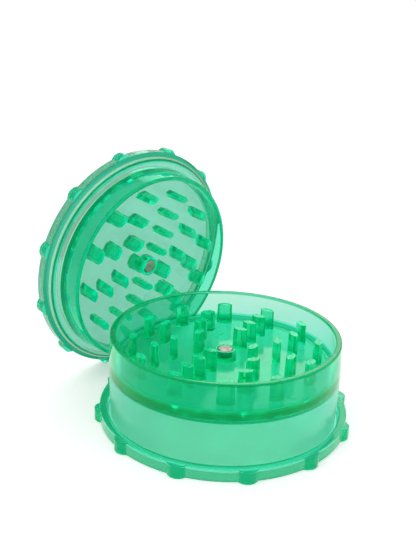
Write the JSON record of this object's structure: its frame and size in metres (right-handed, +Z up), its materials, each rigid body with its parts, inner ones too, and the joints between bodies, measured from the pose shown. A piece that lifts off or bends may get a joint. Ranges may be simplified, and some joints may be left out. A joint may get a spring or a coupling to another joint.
{
  "type": "herb grinder",
  "caption": "Clear green plastic hand grinder for herbs: a toothed cup over a storage space with a knobbed cap, and its matching toothed lid standing on edge beside it.",
  "frame": {"origin": "middle of the bottom cap's flat underside, on the surface that the grinder stands on", "axes": "+Z up along the body's axis; the lid stands on edge behind and to the left, towards -X and +Y, and leans towards the body"},
  "size_m": [0.0842, 0.0884, 0.0642],
  "materials": {
    "cap_plastic": "see-through green acrylic, moulded and polished",
    "body_plastic": "see-through green acrylic, moulded and polished",
    "lid_plastic": "see-through green acrylic, moulded and polished",
    "magnet_steel": "nickel-plated disc magnet"
  },
  "bodies": {
    "bottom_cap": {"bottom_cap": "cap_plastic"},
    "grinder_body": {"grinder_body": "body_plastic", "body_magnet": "magnet_steel"},
    "lid_magnet": {"lid_magnet": "magnet_steel"},
    "lid_cup": {"lid_cup": "lid_plastic"},
    "top_cap": {"top_cap": "cap_plastic"}
  },
  "joints": [
    {"name": "body_lift", "type": "slide", "parent": "bottom_cap", "child": "grinder_body", "axis": [0, 0, 1], "range_m": [0, 0.0167]},
    {"name": "lid_swing", "type": "hinge", "parent": "bottom_cap", "child": "lid_magnet", "pos_m": [-0.01168, 0.00856, 0.01549], "axis": [0.771, 0.6247, -0.1239], "range_deg": [0, 84.19]},
    {"name": "lid_spin", "type": "hinge", "parent": "lid_magnet", "child": "lid_cup", "pos_m": [-0.02778, 0.03177, 0.0323], "axis": [0.7073, -0.6975, -0.1149], "continuous": true},
    {"name": "top_cap_pull", "type": "slide", "parent": "lid_cup", "child": "top_cap", "axis": [-0.7073, 0.6975, 0.1149], "range_m": [0, 0.012]}
  ]
}
